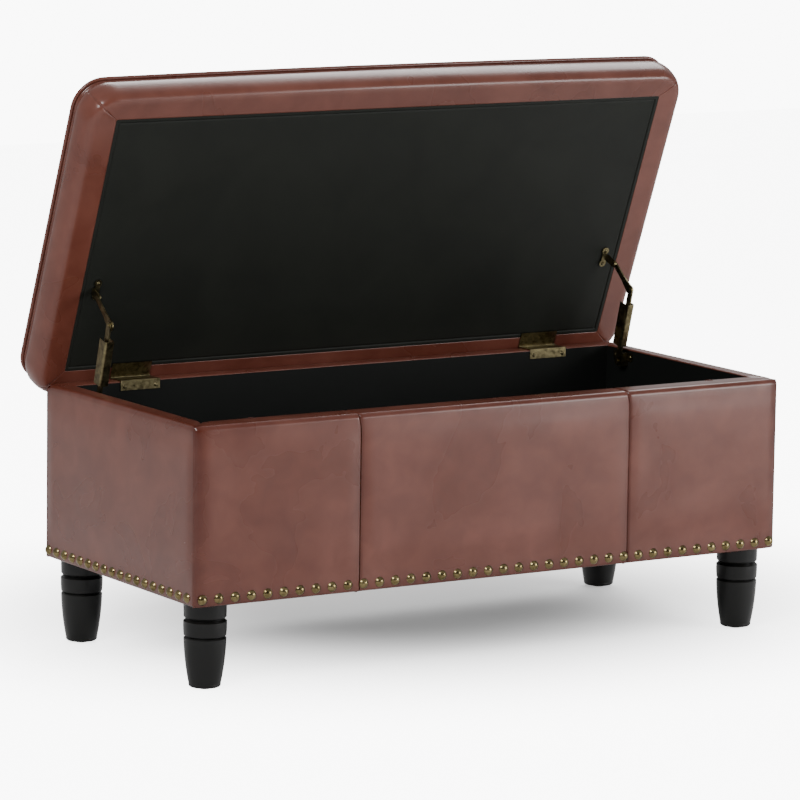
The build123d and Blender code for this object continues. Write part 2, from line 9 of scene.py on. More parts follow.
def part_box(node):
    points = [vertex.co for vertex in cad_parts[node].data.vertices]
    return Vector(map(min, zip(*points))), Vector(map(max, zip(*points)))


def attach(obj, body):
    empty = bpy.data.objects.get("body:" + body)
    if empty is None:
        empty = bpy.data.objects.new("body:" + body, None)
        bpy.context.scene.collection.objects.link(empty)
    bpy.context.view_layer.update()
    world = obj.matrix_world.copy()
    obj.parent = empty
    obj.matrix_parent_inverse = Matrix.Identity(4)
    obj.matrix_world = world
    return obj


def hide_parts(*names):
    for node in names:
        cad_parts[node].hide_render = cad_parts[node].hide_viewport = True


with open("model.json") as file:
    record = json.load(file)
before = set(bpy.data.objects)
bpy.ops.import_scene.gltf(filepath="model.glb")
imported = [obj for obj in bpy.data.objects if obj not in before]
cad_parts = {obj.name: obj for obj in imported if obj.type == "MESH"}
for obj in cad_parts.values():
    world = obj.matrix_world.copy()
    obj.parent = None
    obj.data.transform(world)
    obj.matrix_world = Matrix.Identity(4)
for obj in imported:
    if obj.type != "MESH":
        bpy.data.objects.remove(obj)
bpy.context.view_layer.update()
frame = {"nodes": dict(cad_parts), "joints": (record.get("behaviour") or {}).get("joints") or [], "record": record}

nodes = frame["nodes"]
joints = {j["name"]: j for j in frame["joints"]}


def srgb(r, g, b):
    def lin(v):
        v /= 255
        return v / 12.92 if v <= 0.04045 else ((v + 0.055) / 1.055) ** 2.4

    return (lin(r), lin(g), lin(b), 1.0)


def smooth(x):
    x = max(0.0, min(1.0, x))
    return x * x * (3 - 2 * x)


def newObject(name, mesh):
    obj = bpy.data.objects.new(name, mesh)
    bpy.context.scene.collection.objects.link(obj)
    return obj


def gridObject(name, rows, inside, ring=False, capEnds=False, thickness=0.0, edge_shade=None):
    bm = bmesh.new()  # a skin over rows of points, its faces turned away from inside
    verts = [[bm.verts.new(p) for p in row] for row in rows]
    across = len(rows[0])
    for a, b in zip(verts, verts[1:]):
        for i in range(across if ring else across - 1):
            j = (i + 1) % across
            bm.faces.new((a[i], a[j], b[j], b[i]))
    if capEnds:
        bm.faces.new(verts[0])
        centre = bm.verts.new(sum((v.co for v in verts[-1]), Vector()) / across)
        for i in range(across):
            bm.faces.new((verts[-1][i], verts[-1][(i + 1) % across], centre))
    bm.normal_update()
    facing = sum(f.calc_area() * f.normal.dot(f.calc_center_median() - inside) for f in bm.faces)
    if facing < 0:
        bmesh.ops.reverse_faces(bm, faces=bm.faces)
    mesh = bpy.data.meshes.new(name)
    bm.to_mesh(mesh)
    bm.free()
    mesh.shade_smooth()
    # per-point painted shade mask, stored as a point attribute and read by the leather material
    if edge_shade:
        edgeShadeMask = mesh.attributes.new("edge_shade", "FLOAT", "POINT")
        for vert in mesh.vertices:
            edgeShadeMask.data[vert.index].value = edge_shade(vert.co)
    obj = newObject(name, mesh)
    if thickness:
        solid = obj.modifiers.new("thickness", "SOLIDIFY")
        solid.thickness = thickness
        solid.offset = -1
    return obj


def spaced(start, end, step, fine):
    inner = [start + f for f in fine] + [end - f for f in fine]  # close stations near both ends
    low, high = start + fine[-1], end - fine[-1]
    count = max(2, round((high - low) / step))
    inner += [low + (high - low) * i / count for i in range(1, count)]
    return sorted(set([start, end] + inner))


def nodeGroup(name, inputs, outputs):
    tree = bpy.data.node_groups.new(name, "ShaderNodeTree")
    for label, kind, value in inputs:
        socket = tree.interface.new_socket(name=label, in_out="INPUT", socket_type=kind)
        if value is not None:
            socket.default_value = value
    for label, kind in outputs:
        tree.interface.new_socket(name=label, in_out="OUTPUT", socket_type=kind)
    return tree, tree.nodes.new("NodeGroupInput"), tree.nodes.new("NodeGroupOutput")


def mathNode(tree, operation, a, b=None, clamp=False):
    node = tree.nodes.new("ShaderNodeMath")
    node.operation = operation
    node.use_clamp = clamp
    for socket, value in zip(node.inputs, (a, b)):
        if hasattr(value, "links"):
            tree.links.new(value, socket)
        elif value is not None:
            socket.default_value = value
    return node.outputs[0]


def makeMottle():
    tree, gin, gout = nodeGroup(
        "mottle",
        [("Vector", "NodeSocketVector", None), ("Scale", "NodeSocketFloat", 6.0),
         ("Detail", "NodeSocketFloat", 3.0), ("Contrast", "NodeSocketFloat", 2.0)],
        [("Value", "NodeSocketFloat")],
    )
    tex = tree.nodes.new("ShaderNodeTexNoise")
    tex.inputs["Distortion"].default_value = 0.6
    tree.links.new(gin.outputs["Vector"], tex.inputs["Vector"])
    tree.links.new(gin.outputs["Scale"], tex.inputs["Scale"])
    tree.links.new(gin.outputs["Detail"], tex.inputs["Detail"])
    reach = mathNode(tree, "DIVIDE", 0.75, gin.outputs["Contrast"])
    soft = tree.nodes.new("ShaderNodeMapRange")
    soft.interpolation_type = "SMOOTHSTEP"
    tree.links.new(tex.outputs[0], soft.inputs["Value"])
    tree.links.new(mathNode(tree, "SUBTRACT", 0.5, reach), soft.inputs["From Min"])
    tree.links.new(mathNode(tree, "ADD", 0.5, reach), soft.inputs["From Max"])
    tree.links.new(soft.outputs[0], gout.inputs["Value"])
    return tree


def makeGrain():
    tree, gin, gout = nodeGroup(
        "grain",
        [("Vector", "NodeSocketVector", None), ("Scale", "NodeSocketFloat", 500.0),
         ("Creases", "NodeSocketFloat", 0.4)],
        [("Height", "NodeSocketFloat")],
    )
    cells = tree.nodes.new("ShaderNodeTexVoronoi")
    cells.feature = "SMOOTH_F1"
    tree.links.new(gin.outputs["Vector"], cells.inputs["Vector"])
    tree.links.new(gin.outputs["Scale"], cells.inputs["Scale"])
    soft = tree.nodes.new("ShaderNodeTexNoise")
    tree.links.new(gin.outputs["Vector"], soft.inputs["Vector"])
    soft.inputs["Scale"].default_value = 45.0
    soft.inputs["Detail"].default_value = 4.0
    pebbles = mathNode(tree, "MULTIPLY", cells.outputs["Distance"], -1.0)
    folds = mathNode(tree, "MULTIPLY", soft.outputs[0], gin.outputs["Creases"])
    tree.links.new(mathNode(tree, "ADD", pebbles, folds), gout.inputs["Height"])
    return tree


def makeWeave():
    tree, gin, gout = nodeGroup(
        "weave",
        [("Vector", "NodeSocketVector", None), ("Scale", "NodeSocketFloat", 900.0)],
        [("Height", "NodeSocketFloat")],
    )
    total = None
    for direction in ("X", "Z"):
        wave = tree.nodes.new("ShaderNodeTexWave")
        wave.bands_direction = direction
        wave.inputs["Distortion"].default_value = 1.5
        tree.links.new(gin.outputs["Vector"], wave.inputs["Vector"])
        tree.links.new(gin.outputs["Scale"], wave.inputs["Scale"])
        total = wave.outputs[1] if total is None else mathNode(tree, "MAXIMUM", total, wave.outputs[1])
    tree.links.new(total, gout.inputs["Height"])
    return tree


groups = {"mottle": makeMottle(), "grain": makeGrain(), "weave": makeWeave()}


def useGroup(tree, name, vector, **values):
    node = tree.nodes.new("ShaderNodeGroup")
    node.node_tree = groups[name]
    tree.links.new(vector, node.inputs["Vector"])
    for key, value in values.items():
        node.inputs[key].default_value = value
    return node.outputs[0]


def colourMix(tree, factor, a, b):
    node = tree.nodes.new("ShaderNodeMix")
    node.data_type = "RGBA"
    tree.links.new(factor, node.inputs[0])
    for socket, value in ((node.inputs[6], a), (node.inputs[7], b)):
        if hasattr(value, "links"):
            tree.links.new(value, socket)
        else:
            socket.default_value = value
    return node.outputs[2]


def newMaterial(name, finish):
    mat = bpy.data.materials.new(name)
    mat.use_nodes = True
    tree = mat.node_tree
    shader = tree.nodes["Principled BSDF"]
    for key, value in finish.items():
        shader.inputs[key].default_value = value
    vector = tree.nodes.new("ShaderNodeTexCoord").outputs["Object"]
    return mat, tree, shader, vector


def bumpFrom(tree, shader, height, strength, distance):
    bump = tree.nodes.new("ShaderNodeBump")
    bump.inputs["Strength"].default_value = strength
    bump.inputs["Distance"].default_value = distance
    tree.links.new(height, bump.inputs["Height"])
    tree.links.new(bump.outputs["Normal"], shader.inputs["Normal"])


leatherLook = {
    "dark": srgb(66, 24, 14), "mid": srgb(94, 49, 37), "pale": srgb(113, 66, 54),
    # edge: darker brown that the leather mixes in as painted shade at the corners, seams, rim and lower edge
    "edge": srgb(72, 26, 13),
    "finish": {"Roughness": 0.30, "Coat Weight": 0.14, "Coat Roughness": 0.16, "Specular IOR Level": 0.36},
}


def makeLeather():
    mat, tree, shader, vector = newMaterial("leather", leatherLook["finish"])
    clouds = useGroup(tree, "mottle", vector, Scale=7.0, Detail=3.0, Contrast=2.4)
    blots = useGroup(tree, "mottle", vector, Scale=26.0, Detail=4.0, Contrast=1.8)
    base = colourMix(tree, clouds, leatherLook["mid"], leatherLook["pale"])
    shade = mathNode(tree, "MULTIPLY", blots, 0.45)
    plain = colourMix(tree, shade, base, leatherLook["dark"])
    # painted shade: the per-point shade attribute, broken up by the blots, mixes in the darker edge colour
    edgeShadeMask = tree.nodes.new("ShaderNodeAttribute")
    edgeShadeMask.attribute_name = "edge_shade"
    edge = mathNode(tree, "MULTIPLY", edgeShadeMask.outputs["Fac"], mathNode(tree, "ADD", blots, 0.4), clamp=True)
    tree.links.new(colourMix(tree, edge, plain, leatherLook["edge"]), shader.inputs["Base Color"])
    rough = mathNode(tree, "MULTIPLY_ADD", clouds, 0.12)
    rough.node.inputs[2].default_value = leatherLook["finish"]["Roughness"] - 0.06
    tree.links.new(rough, shader.inputs["Roughness"])
    bumpFrom(tree, shader, useGroup(tree, "grain", vector, Scale=300.0, Creases=0.6), 0.05, 0.0005)
    return mat


def makeCloth(name, dark, pale, roughness, strength):
    mat, tree, shader, vector = newMaterial(name, {"Roughness": roughness, "Specular IOR Level": 0.2})
    clouds = useGroup(tree, "mottle", vector, Scale=9.0, Detail=3.0, Contrast=2.0)
    tree.links.new(colourMix(tree, clouds, dark, pale), shader.inputs["Base Color"])
    bumpFrom(tree, shader, useGroup(tree, "weave", vector, Scale=420.0), strength, 0.0002)
    return mat


def makeMetal(name, dark, pale, roughness, metallic=1.0):
    mat, tree, shader, vector = newMaterial(name, {"Metallic": metallic, "Roughness": roughness})
    stains = useGroup(tree, "mottle", vector, Scale=120.0, Detail=4.0, Contrast=2.6)
    tree.links.new(colourMix(tree, stains, dark, pale), shader.inputs["Base Color"])
    rough = mathNode(tree, "MULTIPLY_ADD", stains, 0.14)
    rough.node.inputs[2].default_value = roughness - 0.07
    tree.links.new(rough, shader.inputs["Roughness"])
    return mat


def makeLacquer():
    mat, tree, shader, vector = newMaterial(
        "black_lacquer",
        {"Roughness": 0.36, "Coat Weight": 0.12, "Coat Roughness": 0.15, "Specular IOR Level": 0.25},
    )
    clouds = useGroup(tree, "mottle", vector, Scale=30.0, Detail=3.0, Contrast=1.6)
    tree.links.new(colourMix(tree, clouds, srgb(7, 7, 6), srgb(12, 12, 10)), shader.inputs["Base Color"])
    bumpFrom(tree, shader, useGroup(tree, "grain", vector, Scale=160.0, Creases=0.8), 0.05, 0.0004)
    return mat


def makeWood():
    mat, tree, shader, vector = newMaterial("board_wood", {"Roughness": 0.65})
    stretch = tree.nodes.new("ShaderNodeMapping")
    stretch.inputs["Scale"].default_value = (1.0, 9.0, 9.0)
    tree.links.new(vector, stretch.inputs["Vector"])
    rings = useGroup(tree, "mottle", stretch.outputs[0], Scale=14.0, Detail=6.0, Contrast=2.6)
    grainColour = colourMix(tree, rings, srgb(196, 160, 112), srgb(150, 112, 70))
    tree.links.new(grainColour, shader.inputs["Base Color"])
    return mat


def makePlain(name, dark, pale, roughness):
    mat, tree, shader, vector = newMaterial(name, {"Roughness": roughness})
    clouds = useGroup(tree, "mottle", vector, Scale=60.0, Detail=4.0, Contrast=2.0)
    tree.links.new(colourMix(tree, clouds, dark, pale), shader.inputs["Base Color"])
    bumpFrom(tree, shader, useGroup(tree, "grain", vector, Scale=300.0, Creases=0.5), 0.2, 0.0004)
    return mat


looks = {
    "leather": makeLeather(),
    "lining_fabric": makeCloth("lining_fabric", srgb(7, 9, 7), srgb(12, 14, 12), 0.75, 0.25),
    "lid_fabric": makeCloth("lid_fabric", srgb(20, 22, 18), srgb(27, 29, 24), 0.62, 0.25),
    "dust_fabric": makeCloth("dust_fabric", srgb(24, 24, 24), srgb(34, 34, 34), 0.85, 0.3),
    "board_wood": makeWood(),
    "foam": makePlain("foam", srgb(222, 210, 176), srgb(205, 190, 150), 0.9),
    "black_lacquer": makeLacquer(),
    "nail_brass": makeMetal("nail_brass", srgb(92, 80, 50), srgb(142, 128, 90), 0.24),
    "glide_nylon": makePlain("glide_nylon", srgb(16, 16, 16), srgb(26, 26, 26), 0.5),
    "zinc_steel": makeMetal("zinc_steel", srgb(168, 170, 170), srgb(196, 196, 190), 0.32),
    "stay_spring_steel": makeMetal("stay_spring_steel", srgb(70, 64, 50), srgb(112, 102, 78), 0.34),
    "antique_brass": makeMetal("antique_brass", srgb(78, 71, 50), srgb(134, 124, 92), 0.34),
}
slotOf = {p["node"]: p["material_slot"] for p in frame["record"]["subparts"]}
print("materials ready")


def finishPiece(obj, look, body):
    obj.data.materials.clear()
    obj.data.materials.append(looks[look])
    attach(obj, body)
    return obj


boxFaces = {
    "front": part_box("front_cover_centre")[0].y, "left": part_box("left_cover")[0].x,
    "right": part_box("right_cover")[1].x, "back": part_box("back_cover")[1].y,
    "cavityFront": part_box("front_lining")[1].y, "cavityLeft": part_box("left_lining")[1].x,
    "cavityRight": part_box("right_lining")[0].x, "cavityBack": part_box("back_lining")[0].y,
    "low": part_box("left_cover")[0].z, "top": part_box("left_cover")[1].z,
    "seam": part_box("front_cover_centre")[1].x,
}
midHeight = (boxFaces["low"] + boxFaces["top"]) / 2
farOff = 9.0  # stands for no edge nearby
coverLook = {
    "rimRadius": 0.009, "bottomRadius": 0.004, "bulge": 0.0016, "crown": 0.0006, "thickness": 0.0018,
    "cornerReach": 0.024, "cornerDrop": 0.0068, "seamDip": 0.0017, "seamWidth": 0.0016, "seamGap": 0.0002,
    "lean": 0.007, "wave": 0.0007, "return": 0.012, "step": 0.014, "backStep": 0.008,
    "swellFade": 0.02, "rimBand": 0.012, "rimShare": 0.35, "leanReach": 0.09, "leanBand": 0.026,
    "mitreFrom": 0.0004, "hingeMargin": 0.012, "hingeEase": 0.010, "hingePress": 0.0016,
    "sideFall": 0.0018, "sideFallReach": 0.014, "topFrom": 0.001, "sideDip": 0.6,
    "fine": (0.0004, 0.0009, 0.0016, 0.0026, 0.0045, 0.008, 0.013, 0.019, 0.026),
}


def coverProfile(wall):  # section from the cavity over the rim to the underside: (inward, height)
    c, top, low = coverLook, boxFaces["top"], boxFaces["low"]
    r, b = c["rimRadius"], c["bottomRadius"]
    points = [(wall, top - 0.0022), (wall - 0.0002, top - 0.0009), (wall - 0.0012, top)]
    span = wall - 0.0012 - r
    for i in range(1, 7):
        t = i / 7
        points.append((wall - 0.0012 - span * t, top + c["crown"] * math.sin(math.pi * t)))
    for i in range(9):
        a = math.pi / 2 * i / 8
        points.append((r - r * math.sin(a), top - r + r * math.cos(a)))
    faceTop, faceLow = top - r, low + b
    for i in range(1, 22):
        points.append((0.0, faceTop + (faceLow - faceTop) * i / 22))
    for i in range(6):
        a = math.pi / 2 * i / 5
        points.append((b - b * math.cos(a), low + b - b * math.sin(a)))
    points += [(0.008, low), (c["return"], low)]
    return points


def seamDip(distance):
    c = coverLook
    return c["seamDip"] * math.exp(-((distance / c["seamWidth"]) ** 2))


def faceSwell(along, z):  # how far the padding pushes the face out
    c = coverLook
    faceTop, faceLow = boxFaces["top"] - c["rimRadius"], boxFaces["low"] + 0.024
    t = (z - faceLow) / (faceTop - faceLow)
    if not 0 < t < 1:
        return 0.0
    fade = smooth(t * 5) * smooth((1 - t) * 6)
    ripple = noise.noise(Vector((along * 9, z * 7, 3.1))) * c["wave"]
    return fade * (c["bulge"] + ripple)


def leanAt(d, z):  # how far a seam leans over, near the rim and across it
    c = coverLook
    near = smooth((z - boxFaces["top"] + c["leanBand"]) / c["leanBand"])
    return -c["lean"] * (near * 0.55 + 0.45 * smooth(d / 0.018))


def nearRim(z):
    return smooth((z - boxFaces["top"] + coverLook["rimBand"]) / coverLook["rimBand"])


def cornerRound(e):  # how far the face falls back at a distance e from a box corner
    reach = max(0.0, 1 - e / coverLook["cornerReach"])
    return coverLook["cornerDrop"] * (1 - math.sqrt(max(0.0, 1 - reach * reach)))


def mitredX(x, d, wall):  # the panel narrows towards the cavity, so that its ends meet the side panels
    c, f = coverLook, boxFaces
    sideWall = f["cavityLeft"] - f["left"]
    limit = f["right"] - max(0.0, d - c["cornerDrop"] - c["mitreFrom"]) * sideWall / (wall - c["cornerDrop"])
    return x * limit / f["right"] if abs(x) > f["right"] * 0.8 else x


def coverEdgeShade(p):  # painted shade: darker, browner leather near the corners, seams, the rim and the lower edge
    f = boxFaces
    dx = min(abs(p.x - f["left"]), abs(f["right"] - p.x))
    dy = min(abs(p.y - f["front"]), abs(f["back"] - p.y))
    seam = abs(abs(p.x) - f["seam"]) if p.y < 0 else 1.0
    unshaded = 1 - 0.9 * smooth(1 - math.hypot(dx, dy) / 0.026)
    unshaded *= 1 - 0.5 * smooth(1 - seam / 0.012)
    unshaded *= 1 - 0.5 * smooth(1 - math.hypot(min(dx, dy), f["top"] - p.z) / 0.018)
    unshaded *= 1 - 0.5 * smooth(1 - (p.z - f["low"]) / 0.026)
    return 1 - unshaded


def frontPanel(name, startX, endX, startCorner, endCorner):
    c, f = coverLook, boxFaces
    wall = f["cavityFront"] - f["front"]
    stations = spaced(startX + c["seamGap"], endX - c["seamGap"], c["step"], c["fine"])
    rows = []
    for d, z in coverProfile(wall):
        row = []
        onTop = smooth((d - c["topFrom"]) / c["rimRadius"])
        for x in stations:
            e = min(x - startX if startCorner else farOff, endX - x if endCorner else farOff)
            s = min(x - startX if not startCorner else farOff, endX - x if not endCorner else farOff)
            drop = cornerRound(e)
            dip = seamDip(s) + seamDip(min(x - startX, endX - x)) * (0.5 if e < 1 else 0)
            fade = smooth(s / c["swellFade"]) * smooth(e / c["swellFade"])
            y = f["front"] + d + (1 - onTop) * (drop + dip) - faceSwell(x, z) * fade
            height = z - onTop * dip - c["rimShare"] * drop * nearRim(z)
            shift = 0.0
            if not startCorner:
                shift += leanAt(d, z) * (1 - min(1.0, (x - startX) / c["leanReach"]))
            if not endCorner:
                shift += leanAt(d, z) * (1 - min(1.0, (endX - x) / c["leanReach"]))
            row.append((mitredX(x, d, wall) + shift, y, height))
        rows.append(row)
    inside = Vector((0, f["cavityBack"], midHeight))
    return gridObject(name, rows, inside, thickness=c["thickness"], edge_shade=coverEdgeShade)


def mitreDepth(d, ratio):  # where a side panel's end meets the front or back panel
    c = coverLook
    other = d * ratio + 0.002 * (1 - smooth(d / 0.028))
    onTop = smooth((other - c["topFrom"]) / c["rimRadius"])
    meet = other + (1 - onTop) * c["cornerDrop"] - 0.0006
    return c["cornerDrop"] + (meet - c["cornerDrop"]) * smooth(d / 0.003)


def sidePanel(name, side):
    c, f = coverLook, boxFaces
    face = f["left"] if side < 0 else f["right"]
    inner = f["cavityLeft"] if side < 0 else f["cavityRight"]
    wall = abs(face - inner)
    y0, y1 = f["front"] + c["cornerDrop"], f["back"] - c["cornerDrop"]
    stations = spaced(y0 + c["seamGap"], y1 - c["seamGap"], c["step"], c["fine"])
    rows = []
    for d, z in coverProfile(wall):
        row = []
        low = f["front"] + mitreDepth(d, (f["cavityFront"] - f["front"]) / wall)
        high = f["back"] - mitreDepth(d, (f["back"] - f["cavityBack"]) / wall)
        onTop = smooth((d - c["topFrom"]) / c["rimRadius"])
        for y in stations:
            s = min(y - y0, y1 - y)
            dip = seamDip(s) * c["sideDip"]
            along = low + (high - low) * (y - y0) / (y1 - y0)
            out = faceSwell(y + 2.0, z) * smooth(s / c["swellFade"]) - (1 - onTop) * dip
            fall = c["sideFall"] * smooth(1 - s / c["sideFallReach"]) * nearRim(z)
            row.append((face - side * (d - out), along, z - onTop * dip - fall))
        rows.append(row)
    return gridObject(name, rows, Vector((0, 0, midHeight)), thickness=c["thickness"], edge_shade=coverEdgeShade)


def backPanel(name):
    c, f = coverLook, boxFaces
    wall = f["back"] - f["cavityBack"]
    leaves = [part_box(n) for n in ("left_hinge_box_leaf", "right_hinge_box_leaf")]
    hinges = [(low.x + high.x) / 2 for low, high in leaves]
    half = (leaves[0][1].x - leaves[0][0].x) / 2
    rows = []
    for d, z in coverProfile(wall):
        row = []
        onTop = smooth((d - c["topFrom"]) / c["rimRadius"])
        for x in spaced(f["left"], f["right"], c["backStep"], c["fine"]):
            e = min(x - f["left"], f["right"] - x)
            drop = cornerRound(e)
            nearHinge = max(smooth((half + c["hingeMargin"] - abs(x - h)) / c["hingeEase"]) for h in hinges)
            height = z - c["rimShare"] * drop * nearRim(z)
            if z > f["top"] - 0.006:
                pressed = max(0.0, z - f["top"]) + 0.0001
                height -= nearHinge * (c["hingePress"] if d < 0.0085 else pressed)
            y = f["back"] - d - (1 - onTop) * drop + faceSwell(x + 5.0, z) * smooth(e / c["swellFade"])
            row.append((mitredX(x, d, wall), y, height))
        rows.append(row)
    inside = Vector((0, f["front"], midHeight))
    return gridObject(name, rows, inside, thickness=c["thickness"], edge_shade=coverEdgeShade)


def buildCovers():
    f = boxFaces
    seamX = f["seam"]
    made = {
        "front_cover_left": frontPanel("front_panel_left", f["left"], -seamX, True, False),
        "front_cover_centre": frontPanel("front_panel_centre", -seamX, seamX, False, False),
        "front_cover_right": frontPanel("front_panel_right", seamX, f["right"], False, True),
        "left_cover": sidePanel("left_panel", -1),
        "right_cover": sidePanel("right_panel", 1),
        "back_cover": backPanel("back_panel"),
    }
    for node, obj in made.items():
        finishPiece(obj, "leather", "box")
        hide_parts(node)
    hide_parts("wall_padding")


buildCovers()
print("box covers ready")


pinAt = Vector(joints["lid_hinge"]["pos_m"])
openTurn = math.radians(-joints["lid_hinge"]["range_deg"][0])
lidShape = {
    "halfWidth": 0.552, "middle": 0.2345, "halfDepth": 0.2665, "corner": 0.050, "seam": 0.0650,
    "liningHalf": 0.505, "liningNear": 0.015, "liningFar": 0.460, "under": 0.0025,
    "pipingInset": 0.0052, "pipingRadius": 0.0033,
}


def openPoint(x, u, t):  # across, away from the pin, and off the plane of the pin, with the lid open
    c, s = math.cos(openTurn), math.sin(openTurn)
    return pinAt + Vector((x, -u * c + t * s, u * s + t * c))


def roundLoop(halfWidth, near, far, radius, arc, straight):  # rounded outline with matching stations
    radius = max(radius, 0.0008)
    points = []
    corners = [(1, far, 0), (-1, far, 90), (-1, near, 180), (1, near, 270)]
    centres = []
    for side, edge, start in corners:
        cy = far - radius if edge == far else near + radius
        centres.append((side * (halfWidth - radius), cy, start))
    for k, (cx, cy, start) in enumerate(centres):
        for a in arc:
            angle = math.radians(start + 90 * a)
            points.append((cx + radius * math.cos(angle), cy + radius * math.sin(angle), k, a))
        nx, ny, _ = centres[(k + 1) % 4]
        endAngle = math.radians(start + 90)
        ax, ay = cx + radius * math.cos(endAngle), cy + radius * math.sin(endAngle)
        bx, by = nx + radius * math.cos(endAngle), ny + radius * math.sin(endAngle)
        for s in straight:
            points.append((ax + (bx - ax) * s, ay + (by - ay) * s, k, 2 + s))
    return points


halfArc = [0, 0.1, 0.2, 0.3, 0.38, 0.43, 0.465, 0.485, 0.495]
arcStations = halfArc + [round(1 - a, 3) for a in reversed(halfArc)]
straightStations = [0.006, 0.014, 0.026, 0.045]
straightStations += [0.07 + 0.0344 * i for i in range(26)] + [0.955, 0.974, 0.986, 0.994]
bandLook = {
    "profile": [
        (0.0165, 0.0592), (0.0140, 0.0588), (0.0112, 0.0578), (0.0084, 0.0562), (0.0058, 0.0540),
        (0.0034, 0.0508), (0.0016, 0.0470), (0.0004, 0.0425), (0.0000, 0.0370), (0.0004, 0.0290),
        (0.0012, 0.0220), (0.0024, 0.0160), (0.0042, 0.0110), (0.0066, 0.0072), (0.0096, 0.0046),
        (0.0130, 0.0032), (0.0170, 0.0026),
    ],
    "strip": [0.12, 0.3, 0.5, 0.7, 0.86, 0.96, 1.0], "thickness": 0.0014, "tuck": 0.0022,
    "bow": 0.004, "bowFrom": 0.3, "bowReach": 0.17,
    "seamDip": 0.0019, "seamWidth": 0.012, "seamTop": 0.066, "seamFade": 0.008,
    "swell": 0.0006, "swellAt": 0.07, "swellWidth": 0.05,
    "pucker": 0.0007, "puckerFrom": 0.05, "puckerFade": 0.01, "puckerScale": 120,
    "faceFrom": 0.012, "underShare": 0.35,
}


def lidLoop(inset, t, strip=None):  # strip runs from 0 at the edge to 1 at the lining's outline
    g, b = lidShape, bandLook
    near, far = g["middle"] - g["halfDepth"] + inset, g["middle"] + g["halfDepth"] - inset
    loop = roundLoop(g["halfWidth"] - inset, near, far, g["corner"] - inset, arcStations, straightStations)
    if strip is not None:
        goal = roundLoop(g["liningHalf"] - 0.002, g["liningNear"] + 0.002, g["liningFar"] - 0.002, 0.003,
                         arcStations, straightStations)
        loop = [
            (p[0] + (q[0] - p[0]) * strip, p[1] + (q[1] - p[1]) * strip, p[2], p[3])
            for p, q in zip(loop, goal)
        ]
    bowed = []
    for x, u, k, s in loop:
        along = max(0.0, 1 - (x / g["halfWidth"]) ** 2)
        swell = b["bow"] * along * smooth((u - b["bowFrom"]) / b["bowReach"])
        bowed.append((x, u + swell * (1 - (strip or 0.0)), k, s, t))
    return bowed


def bandSeam(s, t, strip):  # the corner seam sinks in, and the leather swells beside it
    b = bandLook
    fade = smooth((b["seamTop"] - t) / b["seamFade"])
    off = abs(s - 0.5) / b["seamWidth"]
    dip = b["seamDip"] * math.exp(-(off * off)) * fade * (1 - 0.7 * strip)
    beside = (abs(s - 0.5) - b["swellAt"]) / b["swellWidth"]
    return dip - math.exp(-(beside ** 2)) * b["swell"] * fade * (1 - strip)


def bandPoint(x, u, s, t, strip):
    b, g = bandLook, lidShape
    onArc = s <= 1
    dip = bandSeam(s, t, strip) if onArc else 0.0
    pull = 0.0
    if t > b["puckerFrom"]:
        ripple = noise.noise(Vector((x * b["puckerScale"], u * b["puckerScale"], 1.7)))
        pull = b["pucker"] * ripple * smooth((t - b["puckerFrom"]) / b["puckerFade"])
        pull *= 1.6 if onArc else 0.35
    fromMiddle = u - g["middle"]
    length = math.hypot(x / g["halfWidth"], fromMiddle / g["halfDepth"])
    outX = math.copysign(1.0, x) if abs(x) > g["halfWidth"] - g["corner"] else 0.0
    outU = math.copysign(1.0, fromMiddle) if abs(fromMiddle) > g["halfDepth"] - g["corner"] else 0.0
    size = max(1.0, math.hypot(outX, outU)) * max(0.3, length)
    onFace = 1.0 if t > b["faceFrom"] else b["underShare"]
    move = (dip + pull) * onFace / size
    return openPoint(x - outX * move, u - outU * move, t + dip * (1 - onFace))


def buildBand():
    b, g = bandLook, lidShape
    loops = [(lidLoop(i, t), t, 0.0) for i, t in b["profile"]]
    lastInset = b["profile"][-1][0]
    under = g["under"] + 0.0001
    loops += [(lidLoop(lastInset, under, s), under, s) for s in b["strip"]]
    tucked = g["under"] + b["tuck"]
    loops.append((lidLoop(lastInset, tucked, 1.0), tucked, 1.0))
    rows = [[bandPoint(x, u, s, t, strip) for x, u, _, s, _ in loop] for loop, t, strip in loops]
    inside = openPoint(0, g["middle"], 0.04)
    obj = gridObject("lid_band", rows, inside, ring=True, thickness=b["thickness"])
    finishPiece(obj, "leather", "lid")
    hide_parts("lid_border")


cushionLook = {
    "edge": [
        (0.0180, 0.0560), (0.0080, 0.0600), (0.0060, 0.0645), (0.0064, 0.0672), (0.0080, 0.0698),
        (0.0108, 0.0722), (0.0150, 0.0743), (0.0210, 0.0762), (0.0300, 0.0780), (0.0420, 0.0797),
        (0.0600, 0.0815),
    ],
    "shrink": (0.96, 0.91, 0.85, 0.78, 0.70, 0.62, 0.53, 0.44, 0.35, 0.26, 0.18, 0.11, 0.06),
    "crown": 0.0075, "openInset": 0.1, "calmInset": 0.007,
    "gather": 0.0009, "gatherAt": 0.014, "gatherWidth": 0.016, "gatherScale": 55,
    "billow": 0.0018, "billowReach": 0.08,
}


def cushionLift(x, u, inset):  # small gathers beside the welt and a slow billow over the top
    c = cushionLook
    if inset <= c["calmInset"]:
        return 0.0
    edge = math.exp(-((inset - c["gatherAt"]) / c["gatherWidth"]) ** 2)
    lift = c["gather"] * edge * noise.noise(Vector((x * c["gatherScale"], u * c["gatherScale"], 4.4)))
    slow = noise.noise(Vector((x * 4, u * 5, 8.1)))
    return lift + c["billow"] * slow * smooth(inset / c["billowReach"])


